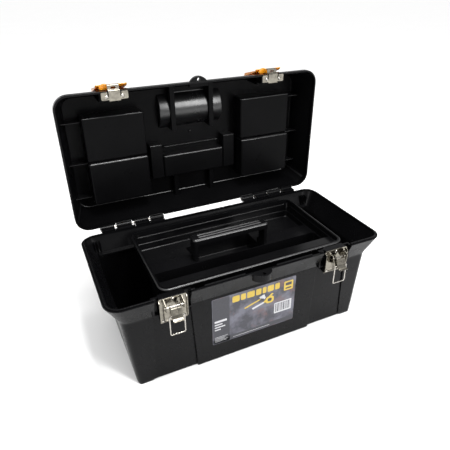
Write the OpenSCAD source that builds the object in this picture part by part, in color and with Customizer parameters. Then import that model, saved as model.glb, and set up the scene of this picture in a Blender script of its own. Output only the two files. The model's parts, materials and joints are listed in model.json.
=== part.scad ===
// Moulded carpenter's toolbox: a flared box with a lift-out tray, and a hinged lid that carries two
// organisers and a folding handle. Two sheet-metal draw latches hold it shut. The lid stands open.
// The origin is the middle of the footprint on the floor, +X runs along the box, the front faces -Y.

/* [Box] */
// Length over the rim
box_length = 489; // [460:1:520]
// Width over the rim
box_width = 226; // [216:1:236]
// Height of the joint between box and lid
rim_z = 171.5; // [165:0.5:178]
// Height where the wall starts to flare out to the rim
flare_z = 134; // [128:1:138]
// How far the rim stands out from the wall
flare_out = 14.7; // [12:0.1:16]
// How much each end wall leans in towards the floor
end_draft = 13.3; // [8:0.1:16]
// Wall thickness
wall = 3; // [2.5:0.1:3.5]
// How far the middle panel stands out from the latch bays
panel_proud = 4; // [2:0.5:5]

/* [Lid] */
// Height of the lid from its rim to its roof
lid_height = 62.5; // [56:0.5:68]
// Distance from the back rim to the hinge axis
hinge_back = 14.7; // [13:0.1:18]
// Opening angle shown, from closed
lid_open = 90; // [0:1:90]
// How far the lid's walls lean in from rim to roof
lid_draft = 14; // [8:1:18]

/* [Latches] */
// Distance of each latch from the middle
latch_x = 146.5; // [140:0.5:152]
// Width of the latch plate
plate_width = 44; // [38:1:48]
// Angle of the lever away from the plate
lever_angle = 20; // [0:1:30]

/* [Tray] */
// Length of the tray over its lip
tray_length = 335; // [300:1:350]
// Width of the tray over its lip
tray_width = 184.8; // [180:0.2:188]
// How far the tray stands to the right of the middle
tray_x = 7.5; // [-20:0.5:20]

/* [Hidden] */
$fn = 48;
eps = 0.01;
far = 400;

black = [0.09, 0.09, 0.10];
steel = [0.75, 0.74, 0.70];
amber = [0.88, 0.52, 0.05, 0.85];
grey = [0.5, 0.5, 0.56];

hinge_y = box_width / 2 + hinge_back;
foot_h = 2;
lock_r = 3.2;
lock_out = 3.5;
rim_r = 25;
mid_r = 14;
base_r = 9;
half_x = box_length / 2;
half_y = box_width / 2;
mid_x = half_x - flare_out - 5.1;
mid_y = half_y - flare_out;
base_x = mid_x - end_draft;
base_y = mid_y - 1.1;
bay_in = [109.5, 116.5];
bay_out = [181.2, 175.8];
bay_deep = 1.6;
notch_half = 28.5;
notch_z = 140;
shelf_z = 144;
shelf_y = 86;
shelf_half = 218;
shelf_t = 3;
gusset_x = [60, 130, 200];
corner_rib_x = [211, 216, 221];
corner_rib_t = 1.6;
grip_rib_y = 62;
lug_r = 18.5;
lug_t = 12.5;
foot_half = [14, 8];
middle_foot_half = [30, 20];
foot_r = 6;
tongue_w = 2.2;
tongue_up = 2;

// Hinge: box and lid barrels alternate along each side
barrel_r = 5;
pin_r = 1.75;
pin_play = 0.05;
pin_span = [83, 205];
pin_hole = [80, 210];
box_barrels = [[84, 110], [146, 174.5]];
lid_barrels = [[114, 141.5], [179, 204]];

// Lid, in its closed attitude: x, -s (distance from the hinge axis), depth above its rim
lid_x = 244.1;
lid_front = 242.9;
lid_back = 2.4;
lid_band = 10;
pan_x = [94.7, 202.5];
pan_s = [37, 117, 197];
pan_deep = [23, 28];
pan_wall = 2.5;
well_x = 61.6;
well_s = 184;
well_r = 36;
well_d = 78;
pocket_x = [62.5, 87];
pocket_s = [60, 127];
store_s = [60, 104];
pocket_d = 42;
rail_x = 37.7;
rail_w = 9.4;
rail_s = [[15, 61], [150, 232]];
rail_d = [45, 38];
lid_rib_s = [48, 113, 187];
catch_pad_half = 24;
tab_r = 18;
tab_t = 8;

// Carry handle
handle_s = 118;
handle_d = 69;
handle_pin_r = 2.5;
arm_x = [68.5, 81];
arm_half = 6;
arm_long = 66;
ear_x = [[62.5, 67], [82.5, 87]];
arm_below = 13;
grip_half = 55;
grip_section = [8, 11];

// Organiser covers
cover_x = [92, 205];
cover_s = [40, 201];
cover_t = 2.6;
cover_axis_s = 35;
cover_axis_d = lid_height + 3.4;
cover_pin_r = 1.2;
cover_lug = [3, 9];
cover_gap = 9.4;
tab_half = 26;

// Latch, seen from its side: y, z
plate_y = -106.4;
plate_t = 1.2;
plate_z = [124, 168.4];
seat_half = 20;
rivet_spots = [[-16, 128], [16, 128], [0, 164]];
rivet_r = 1.6;
ear_half = 14.5;
lever_pin = [-117, 158];
lever_pin_r = 1.4;
lever_half = 7.6;
link = 14;
link_out = 1.5;
bail_half = 11.6;
bail_bend = 2.6;
wire_r = 1.1;
bail_long = 34.85;
hook_out = 7.2;
catch_d = 6;
catch_rivet_s = 234;
catch_rivet_x = [-13, 13];

// Tray floors
tray_top = 170;
tray_t = 2;
ledge_z = 160;
strip_z = 146;
back_z = 134;
deep_z = 104;
channel_y = [-57, -13.5];
strip_y = 18;
pit_x = [-73.5, 54.5];
pit_y = [-11.5, 58];
handle_x = [-74, 70];
handle_y = [-9, 12.5];
handle_z = [177, 188];
handle_post = 8;

// Label
label_x = [-82, 74];
label_z = [36, 132];
label_t = 0.4;
label_gap = 0.05;

// A box given by its low and high corners
module block(low, high) {
    translate(low) cube(high - low);
}

// A flat outline with round corners, given by its low and high corners
module round_area(low, high, r) {
    translate([low[0] + r, low[1]]) square([high[0] - low[0] - 2 * r, high[1] - low[1]]);
    translate([low[0], low[1] + r]) square([high[0] - low[0], high[1] - low[1] - 2 * r]);
    for (x = [low[0] + r, high[0] - r], y = [low[1] + r, high[1] - r])
        translate([x, y]) circle(r);
}

// A box with round upright edges
module round_block(low, high, r) {
    translate([0, 0, low[2]]) linear_extrude(high[2] - low[2]) round_area(low, high, r);
}

// A closed skin between two round outlines at two heights
module taper(low0, high0, z0, r0, low1, high1, z1, r1) {
    hull() {
        translate([0, 0, z0]) linear_extrude(eps) round_area(low0, high0, r0, $fn = 32);
        translate([0, 0, z1 - eps]) linear_extrude(eps) round_area(low1, high1, r1, $fn = 32);
    }
}

// A rod along X
module rod(x0, x1, y, z, r) {
    translate([x0, y, z]) rotate([0, 90, 0]) cylinder(h = x1 - x0, r = r);
}

// A profile drawn in y, z and extruded along X
module side_profile(x0, x1, points) {
    translate([x0, 0, 0]) rotate([90, 0, 90]) linear_extrude(x1 - x0) polygon(points);
}

// Puts what is drawn in the lid's closed attitude about its hinge axis into its place
module on_lid() {
    translate([0, hinge_y, rim_z]) rotate([-lid_open, 0, 0]) children();
}

// A box on the lid, given by x, distance from the hinge and depth above the rim
module lid_block(x, s, d) {
    block([x[0], -s[1], d[0]], [x[1], -s[0], d[1]]);
}

// Draws the children on the right, and mirrored on the left
module both() {
    children();
    mirror([1, 0, 0]) children();
}

// Side is 1 on the right and -1 on the left
module sided(side) {
    if (side > 0) children();
    else mirror([1, 0, 0]) children();
}

// ---- box ----

module box_skin(inset, low_z) {
    b = [base_x - inset, base_y - inset];
    m = [mid_x - inset, mid_y - inset];
    t = [half_x - inset, half_y - inset];
    taper(-b, b, low_z, base_r - inset, -m, m, flare_z + eps, mid_r - inset);
    taper(-m, m, flare_z, mid_r - inset, -t, t, rim_z - 0.5, rim_r - inset);
}

module front_back_bays() {
    for (turn = [0, 180]) rotate([0, 0, turn]) both()
        translate([0, -base_y - 4 + bay_deep, 0]) rotate([90, 0, 0]) translate([0, 0, -4])
            linear_extrude(4) polygon([[bay_in[0], -1], [bay_out[0], -1],
                [bay_out[1], flare_z], [bay_in[1], flare_z]]);
}

module middle_panels() {
    for (turn = [0, 180]) rotate([0, 0, turn])
        translate([0, -base_y + bay_deep, 0]) rotate([90, 0, 0])
            linear_extrude(panel_proud) polygon([[-bay_in[0], foot_h], [bay_in[0], foot_h],
                [bay_in[1], flare_z + 3], [-bay_in[1], flare_z + 3]]);
}

module rim_tongue() {
    out = [half_x - 4.1, half_y - 3.2];
    difference() {
        round_block([-out[0], -out[1], rim_z - 4], [out[0], out[1], rim_z + tongue_up], rim_r - 4);
        round_block([-out[0] + tongue_w, -out[1] + tongue_w, 0],
            [out[0] - tongue_w, out[1] - tongue_w, far], rim_r - 6);
        block([-28, -half_y, rim_z - 1], [28, -half_y + 8, far]);
        both() block([96, -half_y, rim_z - 1], [112, -half_y + 8, far]);
    }
}

module latch_seats() {
    intersection() {
        box_skin(0, foot_h);
        both() block([latch_x - notch_half - wall, -far, notch_z - wall],
            [latch_x + notch_half + wall, -97.5, rim_z - 0.5]);
    }
    both() block([latch_x - seat_half, plate_y, plate_z[0]], [latch_x + seat_half, -94, plate_z[1]]);
}

module box_body() {
    color(black) difference() {
        union() {
            difference() {
                union() {
                    box_skin(0, foot_h);
                    middle_panels();
                }
                box_skin(wall + 1.5, foot_h + wall);
                front_back_bays();
            }
            latch_seats();
            rim_tongue();
            box_shelves();
            box_hinge();
            padlock_lug();
            end_grips();
            feet();
        }
        both() {
            block([latch_x - notch_half, -far, notch_z], [latch_x - seat_half, -100.5, far]);
            block([latch_x + seat_half, -far, notch_z], [latch_x + notch_half, -100.5, far]);
            block([latch_x - notch_half, -far, notch_z], [latch_x + notch_half, plate_y, far]);
            block([latch_x - notch_half, -far, plate_z[1]], [latch_x + notch_half, -90, far]);
            latch_rivet_holes(rivet_r + pin_play);
            rod(pin_hole[0], pin_hole[1], hinge_y, rim_z, pin_r + pin_play);
        }
        translate([0, hinge_y - lid_front - lock_out, 100]) cylinder(h = far, r = lock_r);
    }
}

// Holes through the plate and the pad behind it
module latch_rivet_holes(r) {
    for (spot = rivet_spots)
        translate([latch_x + spot[0], -90, spot[1]]) rotate([90, 0, 0]) cylinder(h = 30, r = r);
}

module box_shelves() {
    for (turn = [0, 180]) rotate([0, 0, turn]) {
        block([-shelf_half, -mid_y + 2, shelf_z - shelf_t], [shelf_half, -shelf_y, shelf_z]);
        both() for (x = gusset_x)
            side_profile(x - 1, x + 1, [[-mid_y + 2, shelf_z - 14], [-shelf_y, shelf_z - 2],
                [-mid_y + 2, shelf_z - 2]]);
    }
    both() for (x = corner_rib_x)
        block([x, mid_y - 4, flare_z + 6], [x + corner_rib_t, mid_y + 5, rim_z - 8]);
}

module box_hinge() {
    both() for (b = box_barrels) {
        rod(b[0], b[1], hinge_y, rim_z, barrel_r);
        block([b[0], half_y - 4, rim_z - barrel_r], [b[1], hinge_y, rim_z - 0.6]);
    }
}

module padlock_lug() {
    difference() {
        translate([0, -half_y + 6, rim_z - 13]) cylinder(h = lug_t, r = lug_r);
        block([-far, -half_y + 1.6, 0], [far, far, far]);
    }
}

module end_grips() {
    both() for (y = [-grip_rib_y, grip_rib_y])
        translate([0, y + 1.5, 0]) rotate([90, 0, 0]) linear_extrude(3)
            polygon([[mid_x - 4, flare_z - 16], [mid_x + 4, flare_z - 8],
                [mid_x + 4, flare_z + 6], [mid_x - 4, flare_z + 6]]);
}

module feet() {
    both() for (side = [-1, 1]) {
        x = base_x - 15;
        y = side * (base_y - 9);
        round_block([x - foot_half[0], y - foot_half[1], 0],
            [x + foot_half[0], y + foot_half[1], foot_h + eps], foot_r);
    }
    round_block([-middle_foot_half[0], -middle_foot_half[1], 0],
        [middle_foot_half[0], middle_foot_half[1], foot_h + eps], foot_r);
}

// ---- lid ----

module lid_skin(inset, top) {
    low = [-lid_x + inset, -lid_front + inset];
    high = [lid_x - inset, -lid_back - inset];
    in = [lid_draft, lid_draft];
    round_block([low[0], low[1], 0], [high[0], high[1], lid_band], rim_r - inset);
    r = rim_r - inset;
    taper(low, high, lid_band - eps, r, low + in, high - in, top, r);
}

module pan(grow, up) {
    lid_block([pan_x[0] - grow, pan_x[1] + grow], [pan_s[0] - grow, pan_s[1] + (grow < 0 ? grow / 2 : 0)],
        [pan_deep[0] - grow, up]);
    lid_block([pan_x[0] - grow, pan_x[1] + grow], [pan_s[1] - (grow < 0 ? grow / 2 : 0), pan_s[2] + grow],
        [pan_deep[1] - grow, up]);
}

module well(grow) {
    intersection() {
        rod(-well_x - grow, well_x + grow, -well_s, well_d, well_r + grow);
        block([-far, -far, 0], [far, 0, lid_height - 1]);
    }
}

module lid_hinge_barrels() {
    both() for (b = lid_barrels) {
        rod(b[0], b[1], 0, 0, barrel_r);
        block([b[0], -lid_back - 3, 0.6], [b[1], 0, barrel_r]);
        block([b[0], -3, -hinge_back + 0.5], [b[1], 3, 0]);
    }
}

module lid_inside() {
    both() {
        pan(0, lid_height - 1);
        lid_block(pocket_x, pocket_s, [pocket_d - 2, lid_height - 1]);
        for (s = lid_rib_s) lid_block([pan_x[1] - 1, 228], [s - 1, s + 1], [40, lid_height - 1]);
        for (i = [1, 0])
            lid_block([rail_x - rail_w / 2, rail_x + rail_w / 2], rail_s[i], [rail_d[i], lid_height - 1]);
        lid_block([latch_x - catch_pad_half, latch_x + catch_pad_half], [226, lid_front - 1], [0, 20]);
        lid_block([latch_x - catch_pad_half, latch_x + catch_pad_half], [222, 228],
            [16, lid_height - 3]);
    }
    well(0);
    lid_block([-well_x, well_x], store_s, [39, lid_height - 1]);
    lid_block([-55.7, 55.7], [114.8, 117.2], [55, lid_height - 1]);
}

module lid_outside() {
    both() {
        for (e = ear_x) {
            lid_block(e, [handle_s - 6, handle_s + 6], [lid_height - 2, handle_d]);
            rod(e[0], e[1], -handle_s, handle_d, 6);
        }
        for (x = [cover_x[0] + cover_lug[0], cover_x[1] - cover_lug[1]]) {
            end = x + cover_lug[1] - cover_lug[0];
            lid_block([x, end], [cover_axis_s - 3, cover_axis_s + 3], [lid_height - 2, cover_axis_d]);
            rod(x, end, -cover_axis_s, cover_axis_d, 3);
        }
    }
}

module lid_tab() {
    translate([0, -lid_front + 9, 0.4]) intersection() {
        cylinder(h = tab_t, r = tab_r);
        block([-tab_r, -tab_r, 0], [tab_r, 0, tab_t]);
    }
}

module lid_shell() {
    color(black) on_lid() difference() {
        union() {
            difference() {
                lid_skin(0, lid_height);
                difference() {
                    translate([0, 0, -eps]) lid_skin(wall, lid_height - wall);
                    lid_inside();
                }
            }
            lid_hinge_barrels();
            lid_outside();
            lid_tab();
        }
        both() {
            pan(-pan_wall, far);
            lid_block([ear_x[0][1], ear_x[1][0]], [pocket_s[0] + pan_wall, pocket_s[1] - pan_wall],
                [pocket_d + 0.5, lid_height + 0.2]);
            for (b = box_barrels) rod(b[0] - 1.5, b[1] + 1.5, 0, 0, barrel_r + 1);
            rod(pin_hole[0], pin_hole[1], 0, 0, pin_r + pin_play);
            rod(ear_x[0][0] - 1, ear_x[1][1] + 1, -handle_s, handle_d, handle_pin_r);
            rod(cover_x[0], cover_x[1], -cover_axis_s, cover_axis_d, cover_pin_r + pin_play);
            for (dx = catch_rivet_x)
                translate([latch_x + dx, -catch_rivet_s, -1])
                    cylinder(h = 12, r = rivet_r + pin_play);
        }
        intersection() {
            rod(-well_x + pan_wall, well_x - pan_wall, -well_s, well_d, well_r - pan_wall);
            block([-far, -far, 0], [far, 0, far]);
        }
        lid_block([-well_x + pan_wall, well_x - pan_wall],
            [store_s[0] + pan_wall, store_s[1] - pan_wall], [41.5, far]);
        translate([0, -lid_front - lock_out, -1]) cylinder(h = 20, r = lock_r);
    }
}

// ---- hinge pins ----

module hinge_pin(side) {
    color(steel) sided(side) rod(pin_span[0], pin_span[1], hinge_y, rim_z, pin_r);
}

// ---- draw latch ----

module latch_plate(side) {
    edge = plate_y - plate_t;
    ear_y = lever_pin[0] - 3.5;
    color(steel) sided(side) difference() {
        union() {
            block([latch_x - plate_width / 2, edge, plate_z[0]],
                [latch_x + plate_width / 2, plate_y, plate_z[1]]);
            for (x = [latch_x - ear_half, latch_x + ear_half - plate_t])
                side_profile(x, x + plate_t, [[edge + 0.5, 146], [ear_y + 2, 151], [ear_y, 153],
                    [ear_y, 161], [ear_y + 2, 163], [edge + 0.5, 167]]);
            for (x = [latch_x - plate_width / 2, latch_x + plate_width / 2 - plate_t])
                side_profile(x, x + plate_t, [[edge + 0.5, 126], [edge - 4, 129], [edge - 4, 163],
                    [edge + 0.5, 166]]);
        }
        rod(latch_x - seat_half, latch_x + seat_half, lever_pin[0], lever_pin[1], lever_pin_r);
        latch_rivet_holes(rivet_r + pin_play);
    }
}

// Puts what is drawn with the lever flat against the plate into its place
module on_lever() {
    translate([0, lever_pin[0], lever_pin[1]]) rotate([-lever_angle, 0, 0]) children();
}

module latch_lever(side) {
    back = -4;
    tip = link + 3;
    color(steel) sided(side) on_lever() difference() {
        union() {
            for (x = [latch_x - lever_half - plate_t, latch_x + lever_half])
                side_profile(x, x + plate_t, [[back, 2], [-2.5, 3.5], [2, 3.5], [3.5, 2],
                    [2.5, -tip + 1], [1, -tip - 1], [back, -tip]]);
            side_profile(latch_x - lever_half, latch_x + lever_half, [[back, -3],
                [back + plate_t, -3], [back + plate_t, -tip + 2.5], [back - 1.4, -tip - 2],
                [back - 6.4, -tip - 5.6], [back - 6.9, -tip - 4.4], [back - 2.2, -tip - 1],
                [back, -tip + 3]]);
        }
        rod(latch_x - seat_half, latch_x + seat_half, 0, 0, lever_pin_r + pin_play);
        rod(latch_x - seat_half, latch_x + seat_half, -link_out, -link, wire_r + pin_play);
    }
}

module lever_pin_rod(side) {
    color(steel) sided(side)
        rod(latch_x - ear_half - 1, latch_x + ear_half + 1, lever_pin[0], lever_pin[1], lever_pin_r);
}

bail_y = lever_pin[0] - link_out * cos(lever_angle) - link * sin(lever_angle);
bail_z = lever_pin[1] + link_out * sin(lever_angle) - link * cos(lever_angle);

// A quarter bend of wire, from straight up to sideways
module wire_bend() {
    rotate([90, 0, 0]) rotate_extrude(angle = 90) translate([bail_bend, 0]) circle(wire_r, $fn = 24);
}

module latch_bail(side) {
    r = bail_bend;
    color(steel) sided(side) translate([latch_x, bail_y, bail_z]) both() {
        rod(lever_half - 2, bail_half - r, 0, 0, wire_r);
        translate([bail_half - r, 0, -r]) wire_bend();
        translate([bail_half, 0, -bail_long + r]) cylinder(h = bail_long - 2 * r, r = wire_r);
        translate([bail_half - r, 0, -bail_long + r]) mirror([0, 0, 1]) wire_bend();
        rod(-eps, bail_half - r, 0, -bail_long, wire_r);
    }
}

module rivet(r) {
    cylinder(h = 7, r = r);
    translate([0, 0, -1.2]) cylinder(h = 1.2, r1 = r, r2 = 3);
}

module latch_rivets(side) {
    color(steel) sided(side) for (spot = rivet_spots)
        translate([latch_x + spot[0], plate_y - plate_t, spot[1]]) rotate([-90, 0, 0])
            rivet(rivet_r);
}

// ---- lid catches ----

module lid_catch(side) {
    y = -lid_front;
    base = -plate_t;
    out = y - 0.05 - plate_t;
    lip = out - hook_out;
    color(steel) sided(side) on_lid() difference() {
        union() {
            side_profile(latch_x - 9.5, latch_x + 9.5, [[y + 16, base], [out, base],
                [out, catch_d - plate_t], [lip + 2, catch_d - plate_t], [lip, catch_d],
                [lip, catch_d + 5], [lip + 1.1, catch_d + 5], [lip + 1.1, catch_d + 0.3],
                [lip + 2, catch_d], [y - 0.05, catch_d], [y - 0.05, -0.02], [y + 16, -0.02]]);
            lid_block([latch_x - 22, latch_x - 7], [-y - 14, -y - 1], [base, -0.02]);
            lid_block([latch_x + 7, latch_x + 22], [-y - 14, -y - 1], [base, -0.02]);
        }
        for (dx = catch_rivet_x)
            translate([latch_x + dx, -catch_rivet_s, -5]) cylinder(h = 12, r = rivet_r + pin_play);
    }
}

module catch_rivets(side) {
    color(steel) sided(side) on_lid() for (dx = catch_rivet_x)
        translate([latch_x + dx, -catch_rivet_s, -plate_t]) rivet(rivet_r);
}

// ---- organiser covers ----

module organizer_cover(side) {
    top = lid_height + 0.3;
    color(amber) sided(side) on_lid() difference() {
        union() {
            round_block([cover_x[0], -cover_s[1], top], [cover_x[1], -cover_s[0], top + cover_t], 6);
            lid_block([cover_x[0] + cover_gap, cover_x[1] - cover_gap], [cover_axis_s, cover_s[0] + 4],
                [cover_axis_d - 2.8, cover_axis_d - 0.6]);
            rod(cover_x[0] + cover_gap, cover_x[1] - cover_gap, -cover_axis_s, cover_axis_d, 2.8);
            side_profile(latch_x - tab_half, latch_x + tab_half, [[-cover_s[1] + 2, top],
                [-cover_s[1] + 2, top + cover_t], [-232, top + cover_t], [-236, top + 1.4],
                [-246.5, 23], [-250, 18.5], [-249, 17], [-244.4, 22], [-229.5, top]]);
        }
        rod(cover_x[0], cover_x[1], -cover_axis_s, cover_axis_d, cover_pin_r + pin_play);
    }
}

module cover_pin(side) {
    color(steel) sided(side) on_lid()
        rod(cover_x[0] + 3.2, cover_x[1] - 3.2, -cover_axis_s, cover_axis_d, cover_pin_r);
}

// ---- carry handle ----

// Drawn raised, as it hangs against its stop
module carry_handle() {
    color(black) on_lid() translate([0, -handle_s, handle_d]) difference() {
        union() {
            both() {
                block([arm_x[0], -arm_half, -arm_below], [arm_x[1], arm_half, arm_long]);
                translate([0, 0, arm_long]) rod(arm_x[0], arm_x[1], 0, 0, arm_half);
            }
            translate([0, 0, arm_long]) rod(-arm_x[1], arm_x[1], 0, 0, arm_half);
            translate([-grip_half, 0, arm_long]) rotate([90, 0, 90]) linear_extrude(2 * grip_half)
                round_area(-grip_section, grip_section, 7);
        }
        both() rod(arm_x[0] - 1, arm_x[1] + 1, 0, 0, handle_pin_r + pin_play);
    }
}

module handle_pin(side) {
    color(steel) sided(side) on_lid()
        rod(ear_x[0][0], ear_x[1][1], -handle_s, handle_d, handle_pin_r);
}

// ---- tray ----

module tote_tray() {
    lip = [tray_length / 2, tray_width / 2];
    out = lip - [3.4, 3.4];
    in = out - [tray_t, tray_t];
    low = in - [2.5, 2.5];
    color(black) translate([tray_x, 0, 0]) difference() {
        union() {
            round_block([-lip[0], -lip[1], tray_top - 4], [lip[0], lip[1], tray_top], 16);
            round_block([-out[0], -out[1], shelf_z + 0.2], [out[0], out[1], tray_top - 1], 13);
            round_block([-low[0] - tray_t, strip_y - tray_t, back_z - tray_t],
                [low[0] + tray_t, shelf_y - 0.6, strip_z], 8);
            round_block([-low[0] - tray_t, channel_y[0] - tray_t, deep_z - tray_t],
                [low[0] + tray_t, channel_y[1] + tray_t, strip_z], 8);
            block([pit_x[0] - tray_t, pit_y[0] - tray_t, deep_z - tray_t],
                [pit_x[1] + tray_t, pit_y[1] + tray_t, strip_z]);
        }
        round_block([-in[0], -in[1], ledge_z], [in[0], in[1], far], 11);
        block([-in[0] + 1, channel_y[0], strip_z], [in[0] - 1, in[1] - 1, far]);
        round_block([-low[0], strip_y, back_z], [low[0], shelf_y - 2.6, far], 6);
        round_block([-low[0], channel_y[0], deep_z], [low[0], channel_y[1], far], 6);
        block([pit_x[0], pit_y[0], deep_z], [pit_x[1], pit_y[1], far]);
        block([-in[0], -in[1], 0], [in[0], channel_y[0] - tray_t, ledge_z - tray_t]);
    }
    color(black) tray_handle();
}

module tray_handle() {
    difference() {
        round_block([handle_x[0], handle_y[0], strip_z - tray_t],
            [handle_x[1], handle_y[1], handle_z[1]], 4);
        block([handle_x[0] + handle_post, handle_y[0] - 1, 0],
            [handle_x[1] - handle_post, handle_y[1] + 1, handle_z[0]]);
    }
}

// ---- label ----

module front_label() {
    y = -base_y + bay_deep - panel_proud;
    color(grey) block([label_x[0], y - label_gap - label_t, label_z[0]],
        [label_x[1], y - label_gap, label_z[1]]);
}

box_body();
lid_shell();
hinge_pin(-1);  // hinge_pin_left
hinge_pin(1);  // hinge_pin_right
latch_plate(-1);  // latch_plate_left
latch_plate(1);  // latch_plate_right
latch_lever(-1);  // latch_lever_left
latch_lever(1);  // latch_lever_right
lever_pin_rod(-1);  // lever_pin_left
lever_pin_rod(1);  // lever_pin_right
latch_bail(-1);  // latch_bail_left
latch_bail(1);  // latch_bail_right
latch_rivets(-1);  // latch_rivets_left
latch_rivets(1);  // latch_rivets_right
lid_catch(-1);  // lid_catch_left
lid_catch(1);  // lid_catch_right
catch_rivets(-1);  // catch_rivets_left
catch_rivets(1);  // catch_rivets_right
organizer_cover(-1);  // organizer_cover_left
organizer_cover(1);  // organizer_cover_right
cover_pin(-1);  // cover_pin_left
cover_pin(1);  // cover_pin_right
carry_handle();
handle_pin(-1);  // handle_pin_left
handle_pin(1);  // handle_pin_right
tote_tray();
front_label();
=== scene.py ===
import json
import math

import bmesh
import bpy
from mathutils import Matrix, Vector


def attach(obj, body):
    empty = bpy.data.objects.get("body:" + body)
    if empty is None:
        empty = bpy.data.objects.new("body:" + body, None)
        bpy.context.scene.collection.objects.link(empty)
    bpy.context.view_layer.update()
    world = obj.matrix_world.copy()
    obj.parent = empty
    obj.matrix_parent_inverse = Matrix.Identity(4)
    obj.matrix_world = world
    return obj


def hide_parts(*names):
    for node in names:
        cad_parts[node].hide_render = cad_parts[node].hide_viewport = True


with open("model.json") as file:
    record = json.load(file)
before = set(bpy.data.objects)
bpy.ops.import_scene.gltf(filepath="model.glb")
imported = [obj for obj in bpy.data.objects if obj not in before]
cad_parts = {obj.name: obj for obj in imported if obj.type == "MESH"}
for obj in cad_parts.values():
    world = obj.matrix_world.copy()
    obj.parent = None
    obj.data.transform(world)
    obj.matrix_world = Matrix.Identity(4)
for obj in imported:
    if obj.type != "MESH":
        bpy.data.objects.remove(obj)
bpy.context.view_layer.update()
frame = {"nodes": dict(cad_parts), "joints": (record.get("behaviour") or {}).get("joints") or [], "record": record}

# Shapes are drawn in millimetres, in the frame's own axes, and scaled to metres as they are made.
MM = 0.001
JOINTS = {joint["name"]: joint for joint in frame["joints"]}


def pivot(name):
    """Where a joint turns, in millimetres."""
    return Vector(JOINTS[name]["pos_m"]) / MM


# ---- mesh kit ----

def outline(low, high, r, arc=8):
    """The points of a rectangle with round corners, anticlockwise from its right-hand side."""
    corners = ((high[0] - r, high[1] - r, 0), (low[0] + r, high[1] - r, 90),
               (low[0] + r, low[1] + r, 180), (high[0] - r, low[1] + r, 270))
    points = []
    for x, y, start in corners:
        for k in range(arc + 1):
            a = math.radians(start + 90 * k / arc)
            points.append((x + r * math.cos(a), y + r * math.sin(a)))
    return points


def arc_points(centre, radii, start, sweep, steps):
    """Points along part of an ellipse, its angles in degrees."""
    turns = (math.radians(start + sweep * k / steps) for k in range(steps + 1))
    return [(centre[0] + radii[0] * math.cos(a), centre[1] + radii[1] * math.sin(a)) for a in turns]


def soft_path(keys, steps=4):
    """A path through the keys' values, each corner rounded over the length that ends its key."""
    points = [Vector(key[:-1]) for key in keys]
    path = [points[0]]
    for k in range(1, len(keys) - 1):
        before, corner, after = points[k - 1:k + 2]
        ease = keys[k][-1]
        start = corner + (before - corner) * min(0.49, ease / max((before - corner).length, 1e-6))
        end = corner + (after - corner) * min(0.49, ease / max((after - corner).length, 1e-6))
        if ease == 0:
            path.append(corner)
            continue
        for n in range(steps + 1):
            t = n / steps
            path.append(start * (1 - t) ** 2 + corner * 2 * t * (1 - t) + end * t ** 2)
    return path + [points[-1]]


def skin(rings):
    """A closed solid through rings of equally many points, capped at both ends."""
    bm = bmesh.new()
    loops = [[bm.verts.new(point) for point in ring] for ring in rings]
    count = len(loops[0])
    for lower, upper in zip(loops, loops[1:]):
        for k in range(count):
            bm.faces.new((lower[k], lower[(k + 1) % count], upper[(k + 1) % count], upper[k]))
    bm.faces.new(reversed(loops[0]))
    bm.faces.new(loops[-1])
    bmesh.ops.recalc_face_normals(bm, faces=bm.faces)
    return bm


def turned_shell(centre_y, keys, arc=8, steps=4):
    """A shell whose section runs through keys of half length, half width, height, corner and ease."""
    rings = []
    for half_x, half_y, z, r in soft_path(keys, steps):
        r = min(r, half_x - 0.1, half_y - 0.1)
        ring = outline((-half_x, -half_y), (half_x, half_y), r, arc)
        rings.append([(x, y + centre_y, z) for x, y in ring])
    return skin(rings)


def brick(low, high, r=0.0, segments=3):
    """A box with all its edges rounded."""
    bm = bmesh.new()
    bmesh.ops.create_cube(bm, size=1)
    size = Vector(high) - Vector(low)
    middle = (Vector(high) + Vector(low)) / 2
    for v in bm.verts:
        v.co = Vector(v.co[k] * size[k] for k in range(3)) + middle
    if r:
        r = min(r, min(size) * 0.499)
        bmesh.ops.bevel(bm, geom=bm.edges[:], offset=r, segments=segments, profile=0.5, affect="EDGES")
    return bm


def slab(low, high, corner, edge=0.0, arc=8, steps=3):
    """A plate with round upright corners, and its top and bottom edges eased."""
    half = [(high[k] - low[k]) / 2 for k in range(2)]
    mid = [(high[k] + low[k]) / 2 for k in range(2)]
    levels = [(0, low[2])]
    if edge:
        turns = (math.pi / 2 * n / steps for n in range(steps + 1))
        bend = [(edge * (1 - math.sin(a)), edge * (1 - math.cos(a))) for a in turns]
        levels = [(inset, low[2] + rise) for inset, rise in bend]
        levels += [(inset, high[2] - rise) for inset, rise in reversed(bend)]
    else:
        levels.append((0, high[2]))
    rings = []
    for inset, z in levels:
        w, d = half[0] - inset, half[1] - inset
        r = max(min(corner - inset, w - 0.01, d - 0.01), 0.05)
        rings.append([(x + mid[0], y + mid[1], z) for x, y in outline((-w, -d), (w, d), r, arc)])
    return skin(rings)


def prism(points, low, high, axis="x", r=0.0, segments=2):
    """A flat outline drawn out along an axis. Its points are (y, z) for x, (x, z) for y, (x, y) for z."""
    place = {"x": lambda p, t: (t, p[0], p[1]), "y": lambda p, t: (p[0], t, p[1]),
             "z": lambda p, t: (p[0], p[1], t)}[axis]
    bm = skin([[place(p, low) for p in points], [place(p, high) for p in points]])
    if r:
        bmesh.ops.bevel(bm, geom=bm.edges[:], offset=r, segments=segments, profile=0.5, affect="EDGES")
    return bm


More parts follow.
